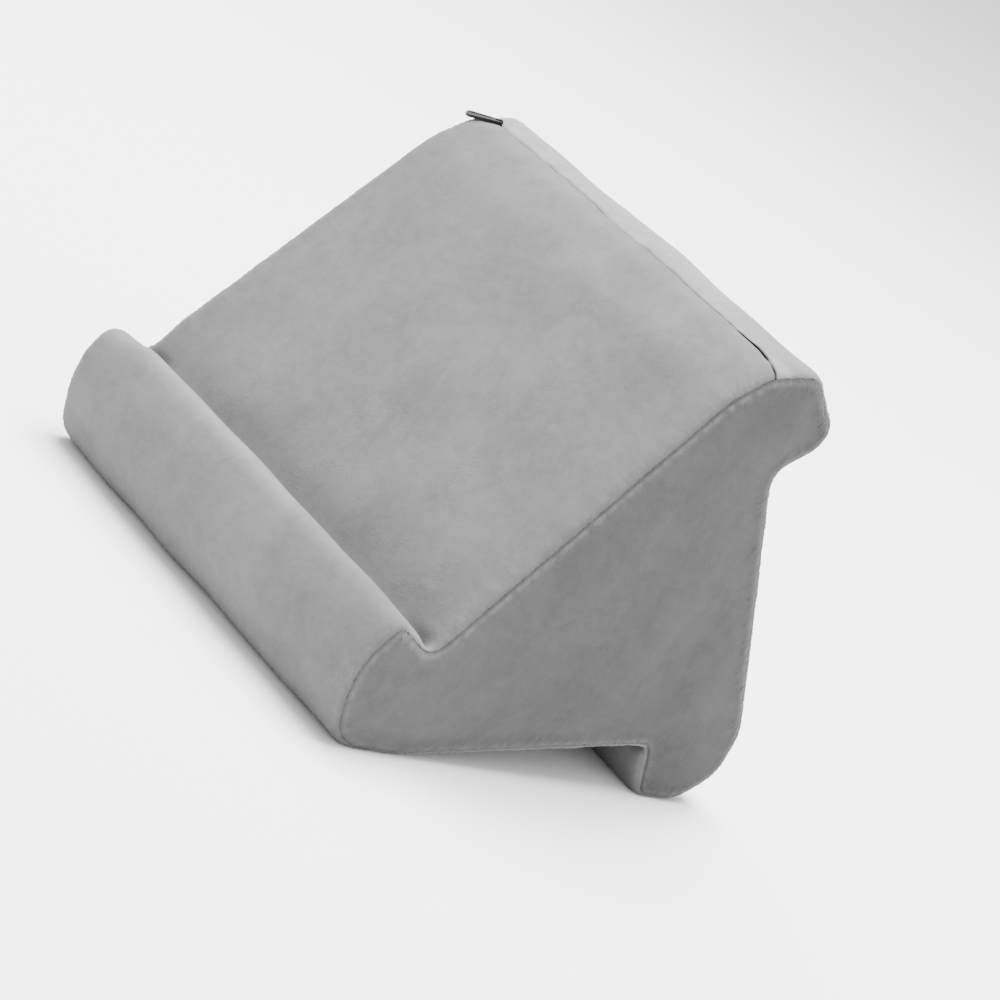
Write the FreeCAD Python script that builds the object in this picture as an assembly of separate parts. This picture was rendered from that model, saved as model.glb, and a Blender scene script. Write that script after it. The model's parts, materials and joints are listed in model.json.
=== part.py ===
# Soft tablet stand: a three-lipped foam wedge in a zipped plush cover.
# X runs along the width, -Y is the front with the ledge lip, +Z is up.
# The origin is the bottom centre of the bounding box, on the surface that the stand rests on.
import FreeCAD, Part

import math
import os

V = FreeCAD.Vector

# overall size
width = 262.0
depth = 270.0
height = 236.0

# front lip, the ledge that holds the tablet's edge
lipTip = 68.5  # height of the lip's crest
lipCrest = 10.5  # crest behind the foremost point
lipDepth = 37.5  # foremost point to the crease
lipToe = 10.0  # foremost point to the corner under it
creaseHeight = 55.0

# ridge and nose, the lip along the top
shoulderY = -12.0  # where the sloped face starts to bend over
shoulderDrop = 24.0
browY = 6.0  # edge over the sloped face
browDrop = 6.2
ridgeY = 17.0  # line of the zip
ridgeDrop = 3.3  # ridge below the top of the nose
ridgeRounding = 30.0
noseTop = 31.0  # where the nose's flat top starts
noseFlat = 7.0
noseTip = 67.0
noseTipDrop = 25.0
noseNotch = 44.5
noseNotchDrop = 52.5

# rear foot, the lip under the back
footHeel = 19.0  # heel's rise starts this far in from the back
footWaist = 23.0
footShoulder = 44.0
footDepth = 48.0  # back to the foot's inner edge
notchDepth = 61.5  # back to the notch in front of the foot
notchHeight = 28.5
baseContact = 52.0  # front to where the base leaves the ground

# covers and filling
coverThickness = 3.0
linerThickness = 0.8
seamUnderLip = 35.0  # front to the seam under the front lip
seamAboveFoot = 36.0  # height of the seam along the back

# zip, in a slot along the ridge
zipLength = 246.0
slitWidth = 2.0
tapeWidth = 11.0
tapeThickness = 0.6
tapeGap = 1.4  # free way between the tapes for the slider's neck
foldDrop = 2.8  # tape edges turn down this far below the cover
elementPitch = 2.0
elementLength = 1.1
elementReach = 1.6
elementHeight = 1.4
stopLength = 3.0

# slider
sliderLength = 9.0
sliderWall = 0.8
sliderFloor = 1.0
sliderClearance = 0.4  # around the zip elements and under the tapes
neckLength = 3.0
neckThickness = 1.0
neckTop = 0.6
eyeletRise = 1.75
eyeletRadius = 1.4
eyeletThickness = 1.0
channelClearance = 0.8  # foam around the slider, liner beside the tapes

# pull tab
pullLength = 18.5
pullBulb = 2.8
pullRoot = 1.7
pullThickness = 1.5
pullHeel = 1.0
pullSlot = 2.7  # fork's depth from the pin's axis
pullSide = 0.25  # clearance between the fork and the eyelet
pinRadius = 0.55
pinClearance = 0.08
pullYaw = 52.0  # degrees from the zip's line towards the face
pullFall = 4.0  # degrees that the tab's plane falls from the ridge towards the face
pullDish = 0.3  # depth of the thumb hollow

front = -depth / 2
back = depth / 2
foldDepth = coverThickness + foldDrop  # depth of the turned edges under the surface


def outlineCorners():
    """Corners of the stand's profile as (y, z, rounding radius), up the front and down the back."""
    return [
        (front + lipToe, 0.0, 22.0),
        (front, 30.0, 40.0),
        (front, 47.0, 22.0),
        (front + lipCrest, lipTip, 6.0),
        (front + lipDepth, creaseHeight, 7.0),
        (shoulderY, height - shoulderDrop, 40.0),
        (browY, height - browDrop, 18.0),
        (ridgeY, height - ridgeDrop, ridgeRounding),
        (noseTop, height, 20.0),
        (noseTop + noseFlat, height, 12.0),
        (noseTip, height - noseTipDrop, 10.0),
        (noseNotch, height - noseNotchDrop, 5.0),
        (back, footShoulder, 25.0),
        (back, footWaist, 14.0),
        (back - footHeel, 0.0, 22.0),
        (back - footDepth, 0.0, 7.0),
        (back - notchDepth, notchHeight, 5.0),
        (front + baseContact, 0.0, 60.0),
    ]


ridgeIndex = 7


def direction(a, b):
    length = math.hypot(b[0] - a[0], b[1] - a[1])
    return ((b[0] - a[0]) / length, (b[1] - a[1]) / length)


def turns(corners):
    """Directions of travel into and out of each corner, and the turn between them."""
    result = []
    for i, corner in enumerate(corners):
        into = direction(corners[i - 1], corner)
        out = direction(corner, corners[(i + 1) % len(corners)])
        turn = math.atan2(into[0] * out[1] - into[1] * out[0], into[0] * out[0] + into[1] * out[1])
        result.append((into, out, turn))
    return result


def insetCorners(corners, inset):
    """The same profile moved inwards; outer roundings shrink and inner ones grow."""
    result = []
    for (y, z, radius), (into, out, turn) in zip(corners, turns(corners)):
        scale = inset / (1 + into[0] * out[0] + into[1] * out[1])
        shiftY = (into[1] + out[1]) * scale
        shiftZ = -(into[0] + out[0]) * scale
        result.append((y + shiftY, z + shiftZ, radius + math.copysign(inset, turn)))
    return result


def profileFace(corners):
    """Planar face at X = 0 from the corners, each one rounded by a tangent arc."""
    edges = []
    starts = []
    ends = []
    for (y, z, radius), (into, out, turn) in zip(corners, turns(corners)):
        reach = radius * abs(math.tan(turn / 2))
        bulge = radius * (1 / math.cos(turn / 2) - 1)
        normal = direction((0, 0), (out[0] - into[0], out[1] - into[1]))
        starts.append(V(0, y - into[0] * reach, z - into[1] * reach))
        ends.append(V(0, y + out[0] * reach, z + out[1] * reach))
        middle = V(0, y + normal[0] * bulge, z + normal[1] * bulge)
        edges.append(Part.Arc(starts[-1], middle, ends[-1]).toShape())
    for i, end in enumerate(ends):
        following = starts[(i + 1) % len(starts)]
        if end.distanceToPoint(following) > 1e-6:
            edges.append(Part.LineSegment(end, following).toShape())
    wire = Part.Wire(Part.__sortEdges__(edges))
    return Part.Face(wire)


def prism(face, x0, x1):
    solid = face.extrude(V(x1 - x0, 0, 0))
    solid.translate(V(x0, 0, 0))
    return solid


def ring(outer, inner, x0, x1):
    return prism(profileFace(outer), x0, x1).cut(prism(profileFace(inner), x0 - 1, x1 + 1))


def polygonPrism(points, x0, x1):
    corners = [V(0, y, z) for y, z in points]
    return prism(Part.Face(Part.makePolygon(corners + corners[:1])), x0, x1)


def export(shape, node):
    shape.exportStep(f"parts/{node}.step")
    print(node, len(shape.Solids), "solids", round(shape.Volume / 1000, 2), "cm3", shape.isValid())


# The zip's own frame: Y across the ridge towards the back, Z outwards, origin on the ridge's surface.
outline = outlineCorners()
ridge = outline[ridgeIndex]
ridgeInto, ridgeOut, ridgeTurn = turns(outline)[ridgeIndex]
ridgeTilt = math.degrees(math.atan2(ridgeInto[1] + ridgeOut[1], ridgeInto[0] + ridgeOut[0]))
halfTurn = abs(ridgeTurn) / 2
ridgeBulge = ridge[2] * (1 / math.cos(halfTurn) - 1)
ridgeOutward = V(0, -math.sin(math.radians(ridgeTilt)), math.cos(math.radians(ridgeTilt)))
ridgePoint = V(0, ridge[0], ridge[1]) - ridgeOutward * ridgeBulge
zipFrame = FreeCAD.Placement(ridgePoint, FreeCAD.Rotation(V(1, 0, 0), ridgeTilt))


def localBox(x0, x1, y0, y1, z0, z1):
    """Box in the zip's frame, moved to the ridge."""
    box = Part.makeBox(x1 - x0, y1 - y0, z1 - z0, V(x0, y0, z0))
    box.Placement = zipFrame.multiply(box.Placement)
    return box


elementInner = tapeGap / 2
elementOuter = elementInner + elementReach
elementBottom = foldDepth + elementHeight
sliderInner = elementOuter + sliderClearance
sliderOuter = sliderInner + sliderWall
sliderTop = foldDepth - sliderClearance - sliderWall
sliderInside = elementBottom + sliderClearance
sliderBottom = sliderInside + sliderFloor
zipEnd = zipLength / 2
sliderX = -zipEnd + stopLength + sliderClearance + sliderLength / 2


def zipRoom(halfWidth, bottom):
    """Space along the zip, to cut from what lies under it."""
    end = zipEnd + channelClearance
    return localBox(-end, end, -halfWidth, halfWidth, -bottom, coverThickness)


def coverPanels():
    inner = insetCorners(outline, coverThickness)
    shell = ring(outline, inner, -width / 2 + coverThickness, width / 2 - coverThickness)
    slit = localBox(-zipEnd, zipEnd, -slitWidth / 2, slitWidth / 2, -4 * coverThickness, coverThickness)
    far = 2 * (depth + height)
    deep = 2 * coverThickness
    hub = (0.0, 0.42 * height)
    ridgeIn = ridgePoint - ridgeOutward * deep
    ridgeFar = ridgePoint + ridgeOutward * far
    zipIn = (ridgeIn.y, ridgeIn.z)
    zipOut = (ridgeFar.y, ridgeFar.z)
    lipIn = (front + seamUnderLip, deep)
    lipOut = (front + seamUnderLip, -far)
    footIn = (back - deep, seamAboveFoot)
    footOut = (far, seamAboveFoot)
    sectors = {
        "face_panel": [hub, zipIn, zipOut, (-2 * far, far), (-2 * far, -far), lipOut, lipIn],
        "base_panel": [hub, lipIn, lipOut, (far, -far), footOut, footIn],
        "back_panel": [hub, footIn, footOut, (far, far), zipOut, zipIn],
    }
    for node, points in sectors.items():
        panel = shell.common(polygonPrism(points, -width, width)).cut(slit)
        export(panel, node)


def sidePanels():
    face = profileFace(outline)
    export(prism(face, width / 2 - coverThickness, width / 2), "side_panel_right")
    export(prism(face, -width / 2, -width / 2 + coverThickness), "side_panel_left")


def liner():
    """Bag round the foam, open under the zip, where the foam goes in."""
    outer = insetCorners(outline, coverThickness)
    inner = insetCorners(outer, linerThickness)
    end = width / 2 - coverThickness
    mouth = zipRoom(tapeGap / 2 + tapeWidth + channelClearance, 2 * sliderBottom)
    wrap = ring(outer, inner, -end + linerThickness, end - linerThickness)
    export(wrap.cut(mouth), "liner_wrap")
    export(prism(profileFace(outer), end - linerThickness, end), "liner_side_right")
    export(prism(profileFace(outer), -end, -end + linerThickness), "liner_side_left")


def foamCore():
    """Wire-cut block with a shallow channel for the slider."""
    corners = insetCorners(outline, coverThickness + linerThickness)
    end = width / 2 - coverThickness - linerThickness
    channel = zipRoom(sliderOuter + channelClearance, sliderBottom + channelClearance)
    export(prism(profileFace(corners), -end, end).cut(channel), "foam_core")


def zipTapes():
    """Each tape lies under its panel and turns down into the slot at the ridge."""
    outer = insetCorners(outline, coverThickness)
    inner = insetCorners(outer, tapeThickness)
    layer = ring(outer, inner, -zipEnd, zipEnd)
    for node, side in (("zip_tape_front", -1), ("zip_tape_back", 1)):
        near = side * tapeGap / 2
        far = side * (tapeGap / 2 + tapeWidth)
        fold = side * (tapeGap / 2 + tapeThickness)
        wing = layer.common(localBox(-zipEnd, zipEnd, min(near, far), max(near, far), -tapeWidth, 0))
        lowered = coverThickness + tapeThickness / 2
        turned = localBox(-zipEnd, zipEnd, min(near, fold), max(near, fold), -foldDepth, -lowered)
        export(wing.fuse(turned).removeSplitter(), node)


def zipElements():
    """Rows of elements hung from the turned tape edges, one row half a pitch behind the other."""
    count = int((zipLength - 2 * stopLength) / elementPitch) - 1
    for node, side in (("zip_elements_front", -1), ("zip_elements_back", 1)):
        shapes = []
        for i in range(count):
            x = -zipEnd + stopLength + elementPitch * (i + 0.5 + 0.25 * side)
            y = min(side * elementInner, side * elementOuter)
            shapes.append(localBox(x, x + elementLength, y, y + elementReach, -elementBottom, -foldDepth))
        export(Part.makeCompound(shapes), node)


def zipStops():
    stops = {
        "zip_top_stop_front": (-zipEnd, -elementOuter, -elementInner),
        "zip_top_stop_back": (-zipEnd, elementInner, elementOuter),
        "zip_bottom_stop": (zipEnd - stopLength, -elementOuter, elementOuter),
    }
    for node, (x, y0, y1) in stops.items():
        export(localBox(x, x + stopLength, y0, y1, -elementBottom, -foldDepth), node)


# The pull lies in a plane that falls from the ridge towards the face.
fallAngle = math.radians(ridgeTilt + pullFall)
fallLine = V(0, -math.cos(fallAngle), -math.sin(fallAngle))
pullOutward = V(0, -math.sin(fallAngle), math.cos(fallAngle))
yaw = math.radians(pullYaw)
pullAlong = V(-1, 0, 0) * math.cos(yaw) + fallLine * math.sin(yaw)
swingAxis = pullAlong.cross(pullOutward)
neckX = sliderX - sliderLength / 2 + sliderClearance + neckLength / 2
eyeletCentre = zipFrame.multVec(V(neckX, 0, eyeletRise))


def disc(radius, thickness):
    return Part.makeCylinder(radius, thickness, eyeletCentre - swingAxis * (thickness / 2), swingAxis)


def slider():
    """Channel that wraps the elements, and a neck that rises through the slit to an eyelet."""
    x0 = sliderX - sliderLength / 2
    x1 = sliderX + sliderLength / 2
    body = localBox(x0, x1, -sliderOuter, sliderOuter, -sliderBottom, -sliderTop)
    room = localBox(x0 - 1, x1 + 1, -sliderInner, sliderInner, -sliderInside, -sliderTop - sliderWall)
    mouthHalf = tapeGap / 2 + tapeThickness + sliderClearance
    mouth = localBox(x0 - 1, x1 + 1, -mouthHalf, mouthHalf, -sliderInside, 0)
    body = body.cut(room).cut(mouth)
    neckHalf = neckThickness / 2
    neckX0 = neckX - neckLength / 2
    neckX1 = neckX + neckLength / 2
    neck = localBox(neckX0, neckX1, -neckHalf, neckHalf, -sliderInside - sliderFloor / 2, neckTop)
    eyelet = disc(eyeletRadius, eyeletThickness)
    hole = disc(pinRadius + pinClearance, 4 * eyeletThickness)
    export(body.fuse([neck, eyelet]).removeSplitter().cut(hole), "zip_slider")


def pullTab():
    """Flat teardrop with a fork and a cross pin at its root, a shallow hollow on each side."""
    bulbX = pullLength - pullBulb
    lean = math.asin((pullBulb - pullRoot) / math.hypot(bulbX, pullRoot))
    tangent = V(bulbX - pullBulb * math.sin(lean), pullBulb * math.cos(lean), 0)
    mirror = V(tangent.x, -tangent.y, 0)
    heelTop = V(-pullHeel, pullRoot, 0)
    heelBottom = V(-pullHeel, -pullRoot, 0)
    outlineEdges = [
        Part.LineSegment(heelBottom, heelTop).toShape(),
        Part.LineSegment(heelTop, tangent).toShape(),
        Part.Arc(tangent, V(pullLength, 0, 0), mirror).toShape(),
        Part.LineSegment(mirror, heelBottom).toShape(),
    ]
    tab = Part.Face(Part.Wire(outlineEdges)).extrude(V(0, 0, pullThickness))
    tab.translate(V(0, 0, -pullThickness / 2))
    forkHalf = eyeletThickness / 2 + pullSide
    fork = Part.makeBox(pullSlot + 2 * pullHeel, 2 * forkHalf, 2 * pullThickness)
    fork.translate(V(-2 * pullHeel, -forkHalf, -pullThickness))
    hollowStart = pullSlot + pullBulb
    hollowHalf = pullBulb - 1.4
    hollowLength = bulbX - hollowStart
    tab = tab.cut(fork)
    for low in (-pullThickness, pullThickness / 2 - pullDish):
        hollow = Part.makeBox(hollowLength, 2 * hollowHalf, pullThickness / 2 + pullDish)
        hollow.translate(V(hollowStart, -hollowHalf, low))
        roundEnd = Part.makeCylinder(hollowHalf, pullThickness / 2 + pullDish, V(bulbX, 0, low))
        tab = tab.cut(hollow.fuse(roundEnd))
    pin = Part.makeCylinder(pinRadius, 2 * pullRoot, V(0, -pullRoot, 0), V(0, 1, 0))
    tab = tab.fuse(pin).removeSplitter()
    across = pullOutward.cross(pullAlong)
    matrix = FreeCAD.Matrix(
        pullAlong.x, across.x, pullOutward.x, eyeletCentre.x,
        pullAlong.y, across.y, pullOutward.y, eyeletCentre.y,
        pullAlong.z, across.z, pullOutward.z, eyeletCentre.z,
    )
    tab.Placement = FreeCAD.Placement(matrix).multiply(tab.Placement)
    export(tab, "zip_pull")


os.makedirs("parts", exist_ok=True)
coverPanels()
sidePanels()
liner()
foamCore()
zipTapes()
zipElements()
zipStops()
slider()
pullTab()

travel = zipLength - 2 * stopLength - sliderLength - 2 * sliderClearance
print("slide range mm", round(travel, 3))
print("pull axis point mm", [round(c, 3) for c in eyeletCentre])
print("pull axis", [round(c, 6) for c in swingAxis])
print("ridge point mm", [round(c, 3) for c in ridgePoint], "tilt", round(ridgeTilt, 3))
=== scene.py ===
import json
import math

import bpy
import numpy as np
from mathutils import Matrix, Vector, geometry
from mathutils.kdtree import KDTree


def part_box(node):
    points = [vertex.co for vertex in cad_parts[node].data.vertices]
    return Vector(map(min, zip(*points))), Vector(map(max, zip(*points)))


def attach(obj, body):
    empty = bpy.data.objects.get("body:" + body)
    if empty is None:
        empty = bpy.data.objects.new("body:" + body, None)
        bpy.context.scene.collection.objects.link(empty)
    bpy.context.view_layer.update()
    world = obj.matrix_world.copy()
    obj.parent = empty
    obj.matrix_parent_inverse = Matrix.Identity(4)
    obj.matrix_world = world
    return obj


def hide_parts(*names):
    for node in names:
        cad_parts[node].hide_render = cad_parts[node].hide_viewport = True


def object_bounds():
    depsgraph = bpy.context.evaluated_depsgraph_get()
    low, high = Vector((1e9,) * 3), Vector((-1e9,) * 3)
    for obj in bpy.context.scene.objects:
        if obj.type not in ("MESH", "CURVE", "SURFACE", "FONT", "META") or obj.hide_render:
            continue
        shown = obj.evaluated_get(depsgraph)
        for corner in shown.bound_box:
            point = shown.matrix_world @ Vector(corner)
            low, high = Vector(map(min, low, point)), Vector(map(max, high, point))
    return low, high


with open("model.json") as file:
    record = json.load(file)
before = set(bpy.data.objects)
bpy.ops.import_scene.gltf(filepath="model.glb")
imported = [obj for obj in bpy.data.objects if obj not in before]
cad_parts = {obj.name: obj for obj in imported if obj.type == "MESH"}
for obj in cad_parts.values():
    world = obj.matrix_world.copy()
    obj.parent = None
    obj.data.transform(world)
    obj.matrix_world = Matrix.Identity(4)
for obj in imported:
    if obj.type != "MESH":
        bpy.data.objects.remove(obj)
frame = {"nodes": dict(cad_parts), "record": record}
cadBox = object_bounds()
nodes = frame["nodes"]
mm = 0.001
print("frame loaded")

seeds = {
    "slowWave": 3,
    "rimPucker": 5,
    "zipPucker": 7,
    "slitWander": 11,
    "wrapBreaks": 13,
    "endBreaks": 17,
    "dashes": 19,
    "endWave": 21,
    "dent": 31,
    "stitches": 41,
    "wrapFrizz": 51,
    "endFrizz": 57,
}


def smoothStep(t):
    t = np.clip(t, 0.0, 1.0)
    return t * t * (3 - 2 * t)


def hump(t):
    # 1 at nought, fading evenly either side
    return np.exp(-(t**2))


def ripple(u, v, wavelength, kind, waves=11, shortest=0.7, longest=1.6):
    # smooth irregular waves of about unit height
    draw = np.random.default_rng(seeds[kind])
    total = np.zeros(np.broadcast(u, v).shape)
    for _ in range(waves):
        angle = draw.uniform(0, 2 * math.pi)
        pitch = 2 * math.pi / (wavelength * draw.uniform(shortest, longest))
        phase = draw.uniform(0, 2 * math.pi)
        total += np.sin(pitch * (u * math.cos(angle) + v * math.sin(angle)) + phase)
    return total / math.sqrt(waves / 2)


def buildMesh(name, points, faces, **marks):
    mesh = bpy.data.meshes.new(name)
    mesh.from_pydata([tuple(p) for p in points], [], [tuple(int(i) for i in f) for f in faces])
    for label, values in marks.items():
        mark = mesh.attributes.new(label, "FLOAT", "POINT")
        mark.data.foreach_set("value", np.ascontiguousarray(values, dtype=np.float32).ravel())
    mesh.polygons.foreach_set("use_smooth", [True] * len(mesh.polygons))
    mesh.update()
    piece = bpy.data.objects.new(name, mesh)
    bpy.context.scene.collection.objects.link(piece)
    return piece


profile = {
    "spacing": 1.1 * mm,  # between the outline's points, its stations
    "softness": 2.4 * mm,  # how far the outline's corners are smoothed
    "notchSoftness": 7.0 * mm,  # the same in the notch under the nose
    "notchReach": 13 * mm,
    "creasesApart": 60 * mm,  # least distance between two inner corners
    "turnStations": 4,  # how far ahead a corner's turn is taken
    "turnBlur": 3,
    "fuller": (  # y, z, rise and reach where the padding fills the outline
        (61 * mm, 201 * mm, 3.6 * mm, 15 * mm),
        (129 * mm, 14 * mm, 2.0 * mm, 14 * mm),
    ),
    "leanHeights": (0.0, 30 * mm, 75 * mm, 225 * mm),
    "lean": (8.0 * mm, 8.5 * mm, 12.0 * mm, -2.0 * mm),  # how far the left end leans out there
    "earDrop": 4.0 * mm,  # the lip's crest sinks at its left end
    "earReach": 24 * mm,
    "earHeights": (56 * mm, 68 * mm),
    "clearance": 0.15 * mm,  # between the cover and the ground
}


def readOutline(node):
    # boundary of a node's rightmost flat face, in order, as (y, z) points
    flatness, digits = 1e-5, 6
    mesh = nodes[node].data
    outerX = max(v.co.x for v in mesh.vertices)
    spots = [tuple(round(c, digits) for c in v.co.yz) for v in mesh.vertices]
    pairs = {}
    for polygon in mesh.polygons:
        corners = list(polygon.vertices)
        if all(abs(mesh.vertices[i].co.x - outerX) < flatness for i in corners):
            for a, b in zip(corners, corners[1:] + corners[:1]):
                edge = (spots[a], spots[b])
                pairs.setdefault(frozenset(edge), []).append(edge)
    following = dict(found[0] for found in pairs.values() if len(found) == 1)
    loop = [min(following)]
    while following[loop[-1]] != loop[0]:
        loop.append(following[loop[-1]])
    return np.array(loop)


def resample(loop, spacing):
    closed = np.vstack([loop, loop[:1]])
    lengths = np.linalg.norm(np.diff(closed, axis=0), axis=1)
    along = np.concatenate([[0], np.cumsum(lengths)])
    s = np.linspace(0, along[-1], int(along[-1] / spacing), endpoint=False)
    return np.column_stack([np.interp(s, along, closed[:, k]) for k in (0, 1)])


def blurLoop(values, width):
    reach = int(3 * width) + 1
    offsets = np.arange(-reach, reach + 1)
    weights = np.exp(-0.5 * (offsets / width) ** 2)
    total = sum(w * np.roll(values, -o, axis=0) for o, w in zip(offsets, weights))
    return total / weights.sum()


def loopArea(points):
    y, z = points.T
    return 0.5 * np.sum(y * np.roll(z, -1) - z * np.roll(y, -1))


def profileLoop(node, spacing):
    # evenly spaced outline, up the front, over the top and down the back
    loop = resample(readOutline(node), spacing)
    return loop[::-1] if loopArea(loop) > 0 else loop


def outwardNormals(loop):
    step = np.roll(loop, -2, axis=0) - np.roll(loop, 2, axis=0)
    step /= np.linalg.norm(step, axis=1)[:, None]
    return step, np.column_stack([-step[:, 1], step[:, 0]])


def nearestStation(y, z):
    return int(np.argmin(np.linalg.norm(outline - (y, z), axis=1)))


outline = profileLoop("side_panel_right", profile["spacing"])
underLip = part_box("base_panel")[0]
outline = np.roll(outline, -nearestStation(underLip.y, underLip.z), axis=0)  # from the lip's seam
outline = blurLoop(outline, profile["softness"] / profile["spacing"])
tangent, normal = outwardNormals(outline)
stationCount = len(outline)
stepLength = np.linalg.norm(np.roll(outline, -1, axis=0) - outline, axis=1).mean()
stopLow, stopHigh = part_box("zip_bottom_stop")
zipCentre = (stopLow + stopHigh) / 2
zipStation = nearestStation(zipCentre.y, zipCentre.z)
backLow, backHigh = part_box("back_panel")
footSeam = nearestStation(backHigh.y, backLow.z)
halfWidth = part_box("side_panel_right")[1].x
zipStart, zipFinish = (corner.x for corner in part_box("zip_tape_front"))


def creaseStations():
    # the three inner corners, where the outline turns the wrong way most
    ahead = np.roll(tangent, -profile["turnStations"], axis=0)
    turning = tangent[:, 0] * ahead[:, 1] - tangent[:, 1] * ahead[:, 0]
    turning = blurLoop(turning, profile["turnBlur"])
    found = []
    for i in np.argsort(-turning):
        gaps = [min(abs(i - j), stationCount - abs(i - j)) * stepLength for j in found]
        if not gaps or min(gaps) > profile["creasesApart"]:
            found.append(int(i))
        if len(found) == 3:
            return sorted(found)


def past(station, place):
    # distance along the outline
    return (station - place) * stepLength


allStations = np.arange(stationCount)
ledgeCrease, noseCrease, footCrease = creaseStations()
notchShare = hump(past(allStations, noseCrease) / profile["notchReach"])[:, None]
softer = blurLoop(outline, profile["notchSoftness"] / profile["spacing"])
outline = outline * (1 - notchShare) + softer * notchShare  # the nose runs softly into the back
tangent, normal = outwardNormals(outline)
for spotY, spotZ, rise, reach in profile["fuller"]:
    away = past(allStations, nearestStation(spotY, spotZ)) / reach
    outline = outline + normal * (rise * hump(away))[:, None]
tangent, normal = outwardNormals(outline)
lipCrest = int(np.argmax(np.where(allStations < ledgeCrease, outline[:, 1], -1)))
print("stations", stationCount, ledgeCrease, zipStation, noseCrease, footSeam, footCrease)


def at(values, station):
    # linear reading of a looped table
    base = np.floor(station).astype(int)
    part = (station - base)[..., None]
    return values[base % stationCount] * (1 - part) + values[(base + 1) % stationCount] * part


def settle(points):
    # leans the left end out towards the bottom, and keeps the cushion on the ground
    share = np.clip(-points[..., 0] / halfWidth, 0, 1)
    points[..., 0] -= share * np.interp(points[..., 2], profile["leanHeights"], profile["lean"])
    low, high = profile["earHeights"]
    onCrest = smoothStep((points[..., 2] - low) / (high - low))
    onCrest = onCrest * (points[..., 1] < outline[ledgeCrease, 0])
    atEnd = smoothStep(1 - (halfWidth + points[..., 0]) / profile["earReach"])
    points[..., 2] -= profile["earDrop"] * onCrest * atEnd
    points[..., 2] = np.maximum(points[..., 2], cadBox[0].z + profile["clearance"])
    return points


puff = {
    "frontLip": 2.2 * mm,  # height of each stretch's crown
    "face": 2.0 * mm,
    "nose": 0.4 * mm,
    "back": 3.0 * mm,
    "foot": 1.6 * mm,
    "base": 1.0 * mm,
    "crownPower": 0.75,  # roundness of the crowns along the outline
    "acrossPower": 3.2,  # how flat they are from end to end
    "ledgeCrease": 3.5 * mm,  # how deep the cover is pulled into each inner corner
    "noseCrease": 3.0 * mm,
    "footCrease": 3.0 * mm,
    "creaseReach": 3.2 * mm,
    "creasePower": 1.5,
    "creaseEnds": 3.5,  # how suddenly a crease ends at the rims
    "dimple": 1.7,  # extra pull in the creases near the ends
    "dimplePlace": 0.92,
    "dimpleReach": 0.07,
    "slowWave": 0.55 * mm,
    "slowPitch": 75 * mm,
    "pucker": 0.28 * mm,  # small folds along the rims and the zip
    "puckerReach": 11 * mm,
    "rimPitch": 12 * mm,
    "zipPitch": 15 * mm,
    "leftShift": 0.4,  # the left rim's folds are taken this far along, in metres
    "pullRoom": 0.55 * mm,  # the cover lies flatter where the zip's pull rests at either end
    "pullPlace": 9 * mm,
    "pullReach": 11 * mm,
    "pullFrom": 80 * mm,
    "pullOver": 15 * mm,
}
stretches = [
    ("frontLip", 0, ledgeCrease),
    ("face", ledgeCrease, zipStation),
    ("nose", zipStation, noseCrease),
    ("back", noseCrease, footSeam),
    ("foot", footSeam, footCrease),
    ("base", footCrease, stationCount),
]
creases = [("ledgeCrease", ledgeCrease), ("noseCrease", noseCrease), ("footCrease", footCrease)]
swell = {
    "rows": 5,  # stations between the points of the coarse bag
    "columns": 37,
    "pressure": 4.0,
    "frames": 20,
    "tension": 12.0,
    "bending": 0.6,
    "cap": 9 * mm,  # how far a point may move
    "least": 0.1 * mm,
    "share": 0.6,  # how much of the crowns comes from the swelling
}


def stretchShape(station, start, finish):
    t = (station - start) / (finish - start)
    inside = (t > 0) & (t < 1)
    return np.where(inside, np.sin(math.pi * np.clip(t, 0, 1)) ** puff["crownPower"], 0.0)


def creasePull(station):
    # how far the cover is drawn into the three inner corners
    total = np.zeros(np.shape(station))
    for name, middle in creases:
        away = np.abs(past(station, middle) / puff["creaseReach"])
        total += puff[name] * np.exp(-(away ** puff["creasePower"]))
    return total


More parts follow.
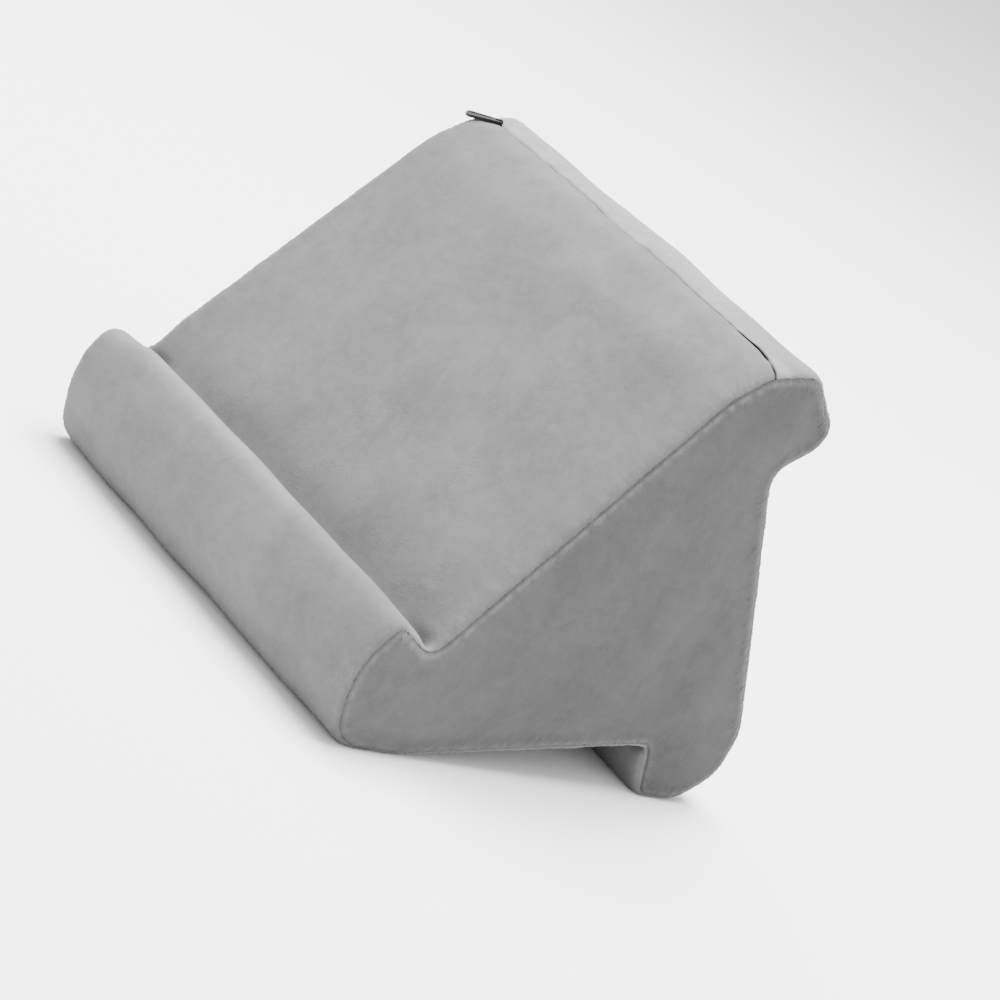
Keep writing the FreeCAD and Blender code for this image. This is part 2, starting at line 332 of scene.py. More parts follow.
def swellCover():
    # the cover as one coarse bag, held at its seams and creases and blown up as cloth
    picks = np.arange(0, stationCount, swell["rows"])
    x = np.linspace(halfWidth, -halfWidth, swell["columns"])
    shape = (len(picks), len(x))
    yz = np.repeat(outline[picks][:, None, :], len(x), axis=1)
    points = np.dstack([np.broadcast_to(x, shape), yz])
    index = np.arange(points[..., 0].size).reshape(shape)
    below = np.roll(index, -1, axis=0)
    quads = np.stack([index[:, :-1], below[:, :-1], below[:, 1:], index[:, 1:]], axis=-1)
    bag = buildMesh("swellingBag", points.reshape(-1, 3), quads.reshape(-1, 4))
    sewn = [int(round(start / swell["rows"])) % len(picks) for _, start, _ in stretches]
    held = np.unique(np.concatenate([index[:, 0], index[:, -1], index[sewn].ravel()]))
    bag.vertex_groups.new(name="held").add([int(i) for i in held], 1.0, "REPLACE")
    cloth = bag.modifiers.new("swell", "CLOTH")
    cloth.settings.vertex_group_mass = "held"
    cloth.settings.use_pressure = True
    cloth.settings.uniform_pressure_force = swell["pressure"]
    cloth.settings.tension_stiffness = swell["tension"]
    cloth.settings.compression_stiffness = swell["tension"]
    cloth.settings.bending_stiffness = swell["bending"]
    cloth.settings.effector_weights.gravity = 0.0
    cloth.collision_settings.use_collision = False
    scene = bpy.context.scene
    for step in range(1, swell["frames"] + 1):
        scene.frame_set(step)
    swollen = bag.evaluated_get(bpy.context.evaluated_depsgraph_get()).data
    moved = np.empty(len(swollen.vertices) * 3)
    swollen.vertices.foreach_get("co", moved)
    moved = moved.reshape(points.shape) - points
    scene.frame_set(1)
    bpy.data.objects.remove(bag)
    rise = np.clip((moved[..., 1:] * normal[picks][:, None, :]).sum(-1), 0, swell["cap"])
    print("cover swollen", round(float(rise.max() / mm), 2), "mm")
    for name, start, finish in stretches:
        inside = (picks >= start) & (picks < finish)
        rise[inside] *= puff[name] / max(rise[inside].max(), swell["least"])
    return rise


def readSwell(station, x):
    # the swelling between the bag's points
    row = station / swell["rows"]
    column = (halfWidth - x) / (2 * halfWidth) * (swell["columns"] - 1)
    top = np.floor(row).astype(int)
    left = np.clip(np.floor(column).astype(int), 0, swell["columns"] - 2)
    down, right = row - top, column - left
    first, second = top % len(swelling), (top + 1) % len(swelling)
    upper = swelling[first, left] * (1 - right) + swelling[first, left + 1] * right
    lower = swelling[second, left] * (1 - right) + swelling[second, left + 1] * right
    return upper * (1 - down) + lower * down


def wrapHeight(station, x):
    # height of the cover over the outline; station runs round the outline, x along the width
    s = station * stepLength
    across = 1 - np.abs(x / halfWidth) ** puff["acrossPower"]
    height = sum(puff[name] * stretchShape(station, a, b) for name, a, b in stretches) * across
    if swelling is not None:
        height = height * (1 - swell["share"]) + readSwell(station, x) * swell["share"]
    nearEnds = hump((np.abs(x) / halfWidth - puff["dimplePlace"]) / puff["dimpleReach"])
    drawnIn = creasePull(station) * (1 + puff["dimple"] * nearEnds)
    height -= drawnIn * np.clip(across * puff["creaseEnds"], 0, 1)
    height += puff["slowWave"] * ripple(s, x, puff["slowPitch"], "slowWave") * across
    nearRim = np.exp(-(halfWidth - np.abs(x)) / puff["puckerReach"])
    shift = np.where(x > 0, 0.0, puff["leftShift"])
    height += puff["pucker"] * nearRim * ripple(s + shift, shift, puff["rimPitch"], "rimPucker")
    nearZip = np.exp(-np.abs(past(station, zipStation)) / puff["puckerReach"])
    height += puff["pucker"] * nearZip * ripple(x, 0 * x, puff["zipPitch"], "zipPucker")
    underPull = hump((-past(station, zipStation) - puff["pullPlace"]) / puff["pullReach"])
    outside = smoothStep((np.abs(x) - puff["pullFrom"]) / puff["pullOver"])
    return height - puff["pullRoom"] * underPull * outside


seams = {
    "depth": 1.8 * mm,
    "inset": 1.9 * mm,  # the rim seams lie this far inside the edges
    "steps": 7,  # points across a rounded edge
    "fabric": 1.2 * mm,  # the cover's thickness
    "frizz": 0.16 * mm,  # loose pile along the seams
    "frizzReach": 6 * mm,
    "stitchPitch": 3.2 * mm,
    "stitchTuck": 0.14 * mm,
    "stitchEven": 0.6,
    "stitchUneven": 0.5,
    "unevenPitch": 19 * mm,
    "lipShade": 0.4,  # strength of the painted shadow in the rim seams along each stretch
    "ledgeShade": 0.8,
    "faceShade": 0.75,
    "noseShade": 0.45,
    "hiddenShade": 0.1,
    "ledgeReach": 8 * mm,
    "noseReach": 12 * mm,
    "shadeBlur": 6 * mm,
    "breakPitch": 6 * mm,  # the seams' painted shadow line is broken by the pile
    "highlightPlace": 0.25,  # where beside a seam the painted highlight lies, as a share of its drop
    "highlightReach": 0.3,
}


def stitchWave(station):
    # small uneven tucks at the stitches
    s = station * stepLength
    wave = ripple(s, 0 * s, seams["unevenPitch"], "stitches")
    uneven = seams["stitchEven"] + seams["stitchUneven"] * wave
    turn = 2 * math.pi * s / seams["stitchPitch"]
    return seams["stitchTuck"] * uneven * np.cos(turn + 2 * uneven)


def seamTable():
    # strength of the painted shadow in the rim seam at each station
    shares = np.full(stationCount, seams["hiddenShade"])
    topOfNose = zipStation + int(seams["noseReach"] / stepLength)
    footOfFace = ledgeCrease + int(seams["ledgeReach"] / stepLength)
    shares[lipCrest // 2 : lipCrest] = seams["lipShade"]
    shares[lipCrest:footOfFace] = seams["ledgeShade"]
    shares[footOfFace:zipStation] = seams["faceShade"]
    shares[zipStation:topOfNose] = seams["noseShade"]
    return blurLoop(shares, seams["shadeBlur"] / stepLength)


seamShares = seamTable()
zipSlit = {
    "halfGap": -0.1 * mm,  # half the gap where the pile closes over the zip
    "wideGap": 0.22 * mm,  # half the gap near the right end
    "leastGap": -0.15 * mm,
    "wideFrom": 50 * mm,
    "wideTo": 100 * mm,
    "gapWander": 0.10 * mm,
    "wanderPitch": 12 * mm,
    "depth": 1.8 * mm,
    "shoulder": 2.6 * mm,
    "openPlace": 102 * mm,  # where the slit gapes a little
    "openReach": 11 * mm,
    "openBy": 0.7 * mm,
    "closeOver": 6 * mm,  # at the zip's ends
    "endGap": 0.25 * mm,  # between the panels past the zip's right end
    "curveFrom": 98 * mm,
    "endCurve": 9.8 * mm,  # there the seam runs down to the sloped face's edge
    "curvePower": 1.7,
    "curveReach": 26 * mm,
    "faintFrom": 20 * mm,  # left of here the pile nearly hides the slit and its painted shadow is faint
    "darkFrom": 80 * mm,
    "faintShade": 0.04,
    "darkShade": 0.9,
    "shadeReach": 4 * mm,
    "shadeFrom": 0.15,  # share of the slit's drop where the painted shadow begins
    "shadeOver": 0.45,
    "dashPitch": 9 * mm,
    "dashMiddle": 0.75,
    "dashSwing": 0.45,
}


def slitGap(x):
    # half the gap between the panels at the zip, closing at the zip's ends
    over = zipSlit["closeOver"]
    inside = smoothStep((x - zipStart) / over) * smoothStep((zipFinish - x) / over)
    beyond = smoothStep((x - zipFinish + over) / over) * zipSlit["endGap"]
    gape = zipSlit["openBy"] * hump((x - zipSlit["openPlace"]) / zipSlit["openReach"])
    wide = smoothStep((x - zipSlit["wideFrom"]) / (zipSlit["wideTo"] - zipSlit["wideFrom"]))
    gap = zipSlit["halfGap"] + (zipSlit["wideGap"] - zipSlit["halfGap"]) * wide
    wave = ripple(x, 0 * x, zipSlit["wanderPitch"], "slitWander")
    gap = gap + gape + zipSlit["gapWander"] * (1 + wide) * wave
    return beyond * (1 - inside) + inside * np.maximum(gap, zipSlit["leastGap"])


def seamShift(x):
    # how many stations the zip's seam has moved towards the face
    share = np.clip((x - zipSlit["curveFrom"]) / (halfWidth - zipSlit["curveFrom"]), 0, 1)
    return share ** zipSlit["curvePower"] * zipSlit["endCurve"] / stepLength


# painted light and shade on the cover, with painted shadow in the ledge's corners
paintedLightTable = {
    "crest": 0.9,  # painted highlight on the lip's crest, fading towards the right end
    "crestReach": 7 * mm,
    "crestKept": 0.25,
    "crestFade": 0.75,
    "ledgeRim": 0.9,  # painted highlight on the wrap's edge round the ledge's ends
    "ledgeRimReach": 4 * mm,
    "ledgeFrom": 3 * mm,
    "ledgePast": 6 * mm,
    "ledgeOver": 4 * mm,
    "toe": -0.35,  # painted shade under the lip
    "toeFrom": 1.6,  # its strength at the seam, and how fast it falls towards the crest
    "toeFall": 2.2,
    "nose": 2.05,  # painted light over the top of the nose, less so down the back
    "back": 0.3,
    "backReach": 45 * mm,
    "baseReach": 30 * mm,
    "noseEnd": -1.35,  # painted shade on the nose, the lip and the face towards the right end
    "noseEndFrom": 60 * mm,
    "lipEnd": -0.32,
    "lipEndReach": 6 * mm,
    "faceEnd": -0.2,
    "endFrom": 35 * mm,
    "endOver": 75 * mm,
    "edgeStations": 4,  # over which the face's share comes and goes
    "noseStations": 3,
    "hole": 0.6,  # shade in the ledge's corners
    "holeDepth": 2.6 * mm,
    "holePlace": 12 * mm,
    "holeReach": 8 * mm,
}
wrap = {
    "overhang": 0.35 * mm,  # the wrap's edge laps over the end panels' edge
    "shoulder": 5.0 * mm,  # rounding beside a rim seam
    "columns": 2.0 * mm,
    "tuckShare": 4,
    "shadowFrom": 0.7,  # share of the rim's drop where the painted seam shadow begins
    "breakMiddle": 0.55,
    "breakSwing": 0.5,
    # strength of the painted highlight beside the rim seams
    "highlights": 0.3,
}


def wrapColumns():
    # x positions across the width with the height of the rim's rounding at each
    phi = np.linspace(0, math.pi / 2, seams["steps"])
    seamX = halfWidth - seams["inset"] + wrap["overhang"]
    shoulderX = seamX - wrap["shoulder"] * (1 - np.cos(phi))
    shoulderDrop = (seams["inset"] + seams["fabric"]) * (1 - np.sin(phi))
    count = int(2 * shoulderX[-1] / wrap["columns"])
    inner = np.linspace(shoulderX[-1], -shoulderX[-1], count)[1:-1]
    x = np.concatenate([shoulderX, inner, -shoulderX[::-1]])
    drop = np.concatenate([shoulderDrop, 0 * inner, shoulderDrop[::-1]])
    return x, drop


def wrapRows(start, finish, startDepth, finishDepth):
    # stations from one seam of a panel to the next with the rounding's height at each
    phi = np.linspace(0, math.pi / 2, seams["steps"])
    reach = zipSlit["shoulder"] / stepLength
    firstEdge = start + reach * (1 - np.cos(phi))
    lastEdge = finish - reach * (1 - np.cos(phi[::-1]))
    count = int(lastEdge[0] - firstEdge[-1])
    inner = np.linspace(firstEdge[-1], lastEdge[0], count)[1:-1]
    drop = np.zeros(2 * len(phi) + len(inner))
    drop[: len(phi)] = startDepth * (1 - np.sin(phi))
    drop[-len(phi) :] = finishDepth * (1 - np.sin(phi[::-1]))
    return np.concatenate([firstEdge, inner, lastEdge]), drop


def seamMarks(row, station, x, rimFlat, edgeFlat):
    # painted shadow down in the seams, the zip's slit and the ledge's corners, and painted
    # highlights beside the rims
    wave = ripple(row * stepLength, x, seams["breakPitch"], "wrapBreaks")
    broken = np.clip(wrap["breakMiddle"] + wrap["breakSwing"] * wave, 0, 1)
    rimShadow = smoothStep((rimFlat - wrap["shadowFrom"]) / (1 - wrap["shadowFrom"])) * broken
    rimShadow = rimShadow * at(seamShares[:, None], station)[..., 0]
    plain = smoothStep((x - zipSlit["faintFrom"]) / (zipSlit["darkFrom"] - zipSlit["faintFrom"]))
    wave = ripple(x, 0 * x, zipSlit["dashPitch"], "dashes")
    dashes = np.clip(zipSlit["dashMiddle"] + zipSlit["dashSwing"] * wave, 0, 1)
    slitShadow = smoothStep((edgeFlat - zipSlit["shadeFrom"]) / zipSlit["shadeOver"])
    slitShadow = slitShadow * (zipSlit["faintShade"] + zipSlit["darkShade"] * plain * dashes)
    slitShadow = slitShadow * hump(past(row, zipStation) / zipSlit["shadeReach"])
    hole = paintedLightTable["hole"] * hump(past(station, ledgeCrease) / paintedLightTable["holeDepth"])
    fromRim = halfWidth - np.abs(x)
    hole = hole * hump((fromRim - paintedLightTable["holePlace"]) / paintedLightTable["holeReach"])
    highlights = smoothStep(1 - np.abs(rimFlat - seams["highlightPlace"]) / seams["highlightReach"])
    return np.clip(rimShadow + slitShadow + hole, 0, 1), highlights * wrap["highlights"] * broken


def paintLightAndShade(station, x, isBack):
    # painted light and shade: above nought lighter, below darker
    fading = smoothStep(paintedLightTable["crestFade"] - x / halfWidth)
    lift = paintedLightTable["crest"] * hump(past(station, lipCrest) / paintedLightTable["crestReach"])
    lift = lift * (paintedLightTable["crestKept"] + (1 - paintedLightTable["crestKept"]) * fading)
    onLedge = smoothStep(past(station, lipCrest) / paintedLightTable["ledgeFrom"])
    toFace = paintedLightTable["ledgePast"] - past(station, ledgeCrease)
    onLedge = onLedge * smoothStep(toFace / paintedLightTable["ledgeOver"])
    atRim = np.exp(-(halfWidth - np.abs(x)) / paintedLightTable["ledgeRimReach"])
    lift = lift + paintedLightTable["ledgeRim"] * onLedge * atRim
    toeShare = smoothStep(paintedLightTable["toeFrom"] - paintedLightTable["toeFall"] * station / lipCrest)
    lift = lift + paintedLightTable["toe"] * toeShare * (station < lipCrest)
    towardsEnd = smoothStep((x - paintedLightTable["endFrom"]) / paintedLightTable["endOver"])
    onLip = smoothStep(1 - past(station, lipCrest) / paintedLightTable["lipEndReach"])
    lift = lift + paintedLightTable["lipEnd"] * towardsEnd * onLip
    onFace = smoothStep((station - ledgeCrease) / paintedLightTable["edgeStations"])
    onFace = onFace * smoothStep((zipStation - station) / paintedLightTable["edgeStations"])
    lift = lift + paintedLightTable["faceEnd"] * towardsEnd * onFace
    onNose = smoothStep((station - zipStation) / paintedLightTable["noseStations"])
    onNose = onNose * (station < noseCrease)
    noseEnd = smoothStep(x / paintedLightTable["noseEndFrom"] - 1)
    lift = lift + paintedLightTable["noseEnd"] * onNose * noseEnd
    if isBack:
        downBack = smoothStep(past(station, noseCrease) / paintedLightTable["backReach"])
        overNose = paintedLightTable["nose"] + (paintedLightTable["back"] - paintedLightTable["nose"]) * downBack
        lift = lift + overNose * smoothStep(-past(station, footSeam) / paintedLightTable["baseReach"])
    return lift


def wrapPanel(name, start, finish, startDepth, finishDepth):
    # rows run along the width, from one seam of the panel to the next
    columnX, rimDrop = wrapColumns()
    rowStation, edgeDrop = wrapRows(start, finish, startDepth, finishDepth)
    row, x = np.meshgrid(rowStation, columnX, indexing="ij")
    station = row - seamShift(x) * hump(past(row, zipStation) / zipSlit["curveReach"])
    rimFlat = (rimDrop / rimDrop.max())[None, :]
    edgeFlat = (edgeDrop / edgeDrop.max())[:, None]
    height = wrapHeight(station, x) * (1 - np.maximum(rimFlat, edgeFlat))
    height += stitchWave(station) * (rimFlat * (1 - rimFlat) * wrap["tuckShare"])
    height += seams["fabric"] - np.maximum(rimDrop[None, :], edgeDrop[:, None])
    nearSeam = np.exp(-(halfWidth - seams["inset"] - np.abs(x)) / seams["frizzReach"])
    loose = np.random.default_rng(seeds["wrapFrizz"]).normal(size=height.shape)
    height += seams["frizz"] * loose * nearSeam
    yz = at(outline, station) + at(normal, station) * height[..., None]
    if zipStation in (start, finish):
        side = 1 if start == zipStation else -1
        reach = 2 * zipSlit["shoulder"] / stepLength
        closeness = np.clip(1 - np.abs(row - zipStation) / reach, 0, 1)
        yz += side * at(tangent, station) * (slitGap(x) * closeness)[..., None]
    index = np.arange(row.size).reshape(row.shape)
    quads = np.stack([index[:-1, :-1], index[1:, :-1], index[1:, 1:], index[:-1, 1:]], axis=-1)
    # painted shadow in the seams and painted highlights beside them
    shadow, highlights = seamMarks(row, station, x, rimFlat, edgeFlat)
    # painted light and shade over the panel
    litAndShaded = paintLightAndShade(station, x, start == zipStation)
    marks = {"seamShadow": shadow, "seamHighlight": highlights, "paintedLightShade": litAndShaded}
    points = settle(np.dstack([x, yz])).reshape(-1, 3)
    return buildMesh(name, points, quads.reshape(-1, 4), **marks)


ends = {
    "shoulder": 5.6 * mm,  # rounding of the end panels beside the rim seam
    "grid": 2.4 * mm,
    "rowShare": 0.87,  # distance between rows over distance between points
    "clearShare": 0.6,
    "bulge": 3.5 * mm,
    "bulgeReach": 30 * mm,
    "wavePitch": 70 * mm,
    "tuckShare": 4,
    # share of the rim's drop where the painted seam shadow begins
    "shadowFrom": 0.75,
    "breakMiddle": 0.6,
    "breakSwing": 0.4,
    "highlights": (0.3, 0.6),  # painted highlight everywhere, and more where the painted seam shadow isn't broken
    "highlightShares": (0.4, 0.7),  # painted highlight everywhere, and more where the painted seam shadow is strong
    "frontLight": 0.35,  # painted lighter at the lip, darker towards the nose and the heel
    "backShade": -0.45,
}


def endRings(stations):
    # rounded rim of an end panel, from the seam inwards
    draw = np.random.default_rng(seeds["endFrizz"])
    rings, lifts = [], []
    for angle in np.linspace(0, math.pi / 2, seams["steps"]):
        inward = ends["shoulder"] * (1 - math.cos(angle)) + seams["inset"]
        rings.append(at(outline, stations) - inward * at(normal, stations))
        blend = math.sin(angle)
        tucks = stitchWave(stations) * ends["tuckShare"] * blend * (1 - blend)
        loose = seams["frizz"] * draw.normal(size=stationCount) * (blend > 0)
        lifts.append(seams["inset"] * (blend - 1) + tucks + loose)
    return rings, lifts


def endGrid():
    # even points inside the rim, bulging outwards
    tree = KDTree(stationCount)
    for i, (y, z) in enumerate(outline):
        tree.insert((y, z, 0), i)
    tree.balance()
    pitch = ends["grid"]
    clear = ends["shoulder"] + seams["inset"] + ends["clearShare"] * pitch
    low, high = outline.min(0), outline.max(0)
    spots, depths = [], []
    for row, z in enumerate(np.arange(low[1], high[1], pitch * ends["rowShare"])):
        for y in np.arange(low[0] + (row % 2) * pitch / 2, high[0], pitch):
            _, i, distance = tree.find((y, z, 0))
            inside = (y - outline[i][0]) * normal[i][0] + (z - outline[i][1]) * normal[i][1] < 0
            if inside and distance > clear:
                spots.append((y, z))
                depths.append(distance - clear)
    spots = np.array(spots)
    bulges = ends["bulge"] * (1 - np.exp(-np.array(depths) / ends["bulgeReach"]))
    wave = ripple(spots[:, 0], spots[:, 1], ends["wavePitch"], "endWave")
    return spots, bulges + puff["slowWave"] * wave * np.clip(bulges / mm, 0, 1)


def endMarks(stations, bulges):
    # painted shadow in the rim seam and painted highlights beside it, none on the inner grid
    phi = np.linspace(0, math.pi / 2, seams["steps"])
    down = np.concatenate([np.repeat(1 - np.sin(phi), len(stations)), 0 * bulges])
    along = np.concatenate([np.tile(stations, len(phi)) * stepLength, 0 * bulges])
    wave = ripple(along, 0 * along, seams["breakPitch"], "endBreaks")
    broken = np.clip(ends["breakMiddle"] + ends["breakSwing"] * wave, 0, 1)
    shares = at(seamShares[:, None], along / stepLength)[..., 0]
    shadow = smoothStep((down - ends["shadowFrom"]) / (1 - ends["shadowFrom"])) * broken * shares
    highlights = smoothStep(1 - np.abs(down - seams["highlightPlace"]) / seams["highlightReach"])
    highlights = highlights * (ends["highlights"][0] + ends["highlights"][1] * broken)
    return shadow, highlights * (ends["highlightShares"][0] + ends["highlightShares"][1] * shares)


def endPanel(name, side):
    stations = np.arange(0, stationCount, 1.0)
    rings, lifts = endRings(stations)
    inner, bulges = endGrid()
    flat = np.vstack(rings + [inner])
    lift = np.concatenate(lifts + [bulges])
    border = [(i, (i + 1) % stationCount) for i in range(stationCount)]
    inside, tolerance = 1, 1e-7  # only what lies inside the border is filled
    result = geometry.delaunay_2d_cdt([Vector(p) for p in flat], border, [], inside, tolerance)
    source = [origins[0] for origins in result[3]]
    yz = np.array([tuple(v) for v in result[0]])
    points = np.column_stack([side * (halfWidth + lift[source]), yz])
    faces = [f if side > 0 else f[::-1] for f in result[2]]
    # painted shadow in the rim seam and painted highlights beside it
    shadow, highlights = endMarks(stations, bulges)
    # painted light and shade: lighter at the lip, darker towards the back
    backward = smoothStep((points[:, 1] - outline[:, 0].min()) / np.ptp(outline[:, 0]))
    litAndShaded = ends["frontLight"] + (ends["backShade"] - ends["frontLight"]) * backward
    marks = {"seamShadow": shadow[source], "seamHighlight": highlights[source], "paintedLightShade": litAndShaded}
    return buildMesh(name, settle(points), faces, **marks)


def thicken(piece, thickness):
    shell = piece.modifiers.new("fabricThickness", "SOLIDIFY")
    shell.thickness = thickness
    shell.offset = -1  # inwards


filling = {
    "spacing": 4.0 * mm,
    "columns": 40,
    "inset": 2.2 * mm,  # room between the cover and what it holds
    "drawnIn": 1.3,  # times the cover's pull in the creases
    "grooveDepth": 8.0 * mm,  # for the zip's slider
    "grooveReach": 6.5 * mm,
    "groovePower": 4,
    "grooveOver": 6 * mm,
    "mouth": 13 * mm,  # the lining is open this far each side of the zip
    "lining": 0.8 * mm,
    "dent": 0.5 * mm,
    "dentPitch": 45 * mm,
    "blur": 1.0,
}


def softForm(name, node, groove, mouth):
    # what the cover holds: the node's own profile, a little slack, drawn in wherever the cover is
    loop = profileLoop(node, filling["spacing"])
    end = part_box(node)[1].x - filling["inset"]
    _, outward = outwardNormals(loop)
    nearest = np.array([nearestStation(*p) for p in loop])[:, None]
    x = np.linspace(-end, end, filling["columns"])[None, :]
    fromZip = np.abs(past(nearest, zipStation))
    overZip = smoothStep((zipFinish + filling["inset"] - np.abs(x)) / filling["grooveOver"])
    depth = filling["inset"] + creasePull(nearest) * filling["drawnIn"]
    away = (fromZip / filling["grooveReach"]) ** filling["groovePower"]
    depth = depth + groove * overZip * np.exp(-away)
    wave = ripple(nearest * stepLength, x, filling["dentPitch"], "dent")
    depth = blurLoop(depth + filling["dent"] * wave, filling["blur"])
    yz = loop[:, None, :] - outward[:, None, :] * depth[..., None]
    grid = np.dstack([np.broadcast_to(x, depth.shape), yz])
    index = np.arange(depth.size).reshape(depth.shape)
    below = np.roll(index, -1, axis=0)
    quads = np.stack([index[:, :-1], index[:, 1:], below[:, 1:], below[:, :-1]], axis=-1)
    opening = (fromZip < mouth) & (overZip > 0.5)
    faces = [tuple(q) for q in quads[~opening[:, :-1]]]
    faces += [tuple(index[:, -1]), tuple(index[::-1, 0])]
    return buildMesh(name, settle(grid).reshape(-1, 3), faces)


swelling = swellCover()
foamBlock = softForm("foam_block", "foam_core", filling["grooveDepth"], 0)
liningBag = softForm("lining_bag", "liner_side_right", 0, filling["mouth"])
thicken(liningBag, filling["lining"])

seamDepth, slitDepth = seams["depth"], zipSlit["depth"]
facePanel = wrapPanel("cover_face", 0, zipStation, seamDepth, slitDepth)
backPanel = wrapPanel("cover_back", zipStation, footSeam, slitDepth, seamDepth)
basePanel = wrapPanel("cover_base", footSeam, stationCount, seamDepth, seamDepth)
rightPanel = endPanel("cover_end_right", 1)
leftPanel = endPanel("cover_end_left", -1)
coverPieces = {
    "face_panel": facePanel,
    "back_panel": backPanel,
    "base_panel": basePanel,
    "side_panel_right": rightPanel,
    "side_panel_left": leftPanel,
}
for node, piece in coverPieces.items():
    thicken(piece, seams["fabric"])
    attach(piece, "stand")
    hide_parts(node)
print("cover sewn")
for piece, slotName in ((foamBlock, "foam"), (liningBag, "liner")):
    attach(piece, "stand")
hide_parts("foam_core")
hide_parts("liner_wrap", "liner_side_left", "liner_side_right")
print("foam and lining in")


def newGroup(name, inputs, outputs):
    group = bpy.data.node_groups.new(name, "ShaderNodeTree")
    inner = group.interface
    inner.new_socket("Vector", in_out="INPUT", socket_type="NodeSocketVector")
    for label, value in inputs.items():
        socket = inner.new_socket(label, in_out="INPUT", socket_type="NodeSocketFloat")
        socket.default_value = value
    for label in outputs:
        inner.new_socket(label, in_out="OUTPUT", socket_type="NodeSocketFloat")
    source = group.nodes.new("NodeGroupInput").outputs
    return group, source, source["Vector"], group.nodes.new("NodeGroupOutput").inputs


def addNode(tree, kind, settings=(), **inputs):
    node = tree.nodes.new(kind)
    for key, value in dict(settings).items():
        setattr(node, key, value)
    for key, value in inputs.items():
        node.inputs[key].default_value = value
    return node


def addMath(tree, operation, *terms):
    # a Math node; each term is a socket or a number
    node = addNode(tree, "ShaderNodeMath", {"operation": operation})
    for socket, term in zip(node.inputs, terms):
        if isinstance(term, (int, float)):
            socket.default_value = term
        else:
            tree.links.new(term, socket)
    return node.outputs["Value"]


def addNoise(tree, vector, scale, detail, roughness, distortion):
    inputs = {"Detail": detail, "Roughness": roughness, "Distortion": distortion}
    node = addNode(tree, "ShaderNodeTexNoise", **inputs)
    tree.links.new(vector, node.inputs["Vector"])
    tree.links.new(scale, node.inputs["Scale"])
    return node.outputs["Fac"]


patchField = {
    "smallScale": 4.3,  # times the large patches' scale
    "tuftScale": 15.0,
    "largeShare": 0.38,
    "smallShare": 0.40,
    "tuftShare": 0.22,
}


def makeMottle():
    # patches of lighter and darker pile, 0 to 1 about the middle
    inputs = {"Scale": 22.0, "Contrast": 1.0}
    group, source, vector, target = newGroup("pileMottle", inputs, ["Fac"])
    smallScale = addMath(group, "MULTIPLY", source["Scale"], patchField["smallScale"])
    tuftScale = addMath(group, "MULTIPLY", source["Scale"], patchField["tuftScale"])
    large = addNoise(group, vector, source["Scale"], detail=3.0, roughness=0.55, distortion=0.4)
    small = addNoise(group, vector, smallScale, detail=4.0, roughness=0.6, distortion=0.8)
    tufts = addNoise(group, vector, tuftScale, detail=3.0, roughness=0.6, distortion=0.6)
    total = addMath(group, "MULTIPLY", large, patchField["largeShare"])
    total = addMath(group, "MULTIPLY_ADD", small, patchField["smallShare"], total)
    total = addMath(group, "MULTIPLY_ADD", tufts, patchField["tuftShare"], total)
    spread = addMath(group, "SUBTRACT", total, 0.5)
    spread = addMath(group, "MULTIPLY", spread, source["Contrast"])
    clamp = addNode(group, "ShaderNodeClamp")
    group.links.new(addMath(group, "ADD", spread, 0.5), clamp.inputs["Value"])
    group.links.new(clamp.outputs["Result"], target["Fac"])
    return group


strokeField = {
    "thinness": 9.0,
    "clustersFrom": 0.52,
    "clustersTo": 0.68,
}


def makeStrokes():
    # short curled marks where the pile lies another way, in scattered clusters
    inputs = {"Scale": 260.0, "Clusters": 36.0}
    group, source, vector, target = newGroup("pileStrokes", inputs, ["Height", "Mask"])
    curl = addNoise(group, vector, source["Scale"], detail=1.0, roughness=0.5, distortion=2.2)
    ridge = addMath(group, "ABSOLUTE", addMath(group, "SUBTRACT", curl, 0.5))
    ridge = addMath(group, "MULTIPLY", ridge, strokeField["thinness"])
    line = addMath(group, "MAXIMUM", addMath(group, "SUBTRACT", 1.0, ridge), 0.0)
    where = addNoise(group, vector, source["Clusters"], detail=2.0, roughness=0.6, distortion=0.5)
    gate = addNode(group, "ShaderNodeMapRange", {"interpolation_type": "SMOOTHSTEP"})
    gate.inputs["From Min"].default_value = strokeField["clustersFrom"]
    gate.inputs["From Max"].default_value = strokeField["clustersTo"]
    group.links.new(where, gate.inputs["Value"])
    mask = addMath(group, "MULTIPLY", line, gate.outputs["Result"])
    group.links.new(mask, target["Mask"])
    group.links.new(mask, target["Height"])
    return group


def makeNap(coarser=0.36, coarseShare=0.5):
    # fine fibre ends over coarser ones
    group, source, vector, target = newGroup("fibreNap", {"Scale": 1500.0}, ["Height", "Fac"])
    coarseScale = addMath(group, "MULTIPLY", source["Scale"], coarser)
    fine = addNoise(group, vector, source["Scale"], detail=2.0, roughness=0.7, distortion=0.3)
    coarse = addNoise(group, vector, coarseScale, detail=2.0, roughness=0.6, distortion=1.2)
    both = addMath(group, "MULTIPLY", fine, 1 - coarseShare)
    both = addMath(group, "MULTIPLY_ADD", coarse, coarseShare, both)
    group.links.new(both, target["Height"])
    group.links.new(fine, target["Fac"])
    return group


def makeWeave(unevenness=0.6):
    # over-and-under threads along two directions
    inputs = {"Threads": 900.0}
    group, source, vector, target = newGroup("threadWeave", inputs, ["Height", "Gaps"])
    waves = []
    for axis in ("X", "Y"):
        settings = {"bands_direction": axis}
        wave = addNode(group, "ShaderNodeTexWave", settings, Distortion=unevenness)
        group.links.new(vector, wave.inputs["Vector"])
        group.links.new(source["Threads"], wave.inputs["Scale"])
        waves.append(wave.outputs["Fac"])
    gaps = addMath(group, "SUBTRACT", 1.0, addMath(group, "MAXIMUM", *waves))
    group.links.new(addMath(group, "MULTIPLY", *waves), target["Height"])
    group.links.new(gaps, target["Gaps"])
    return group


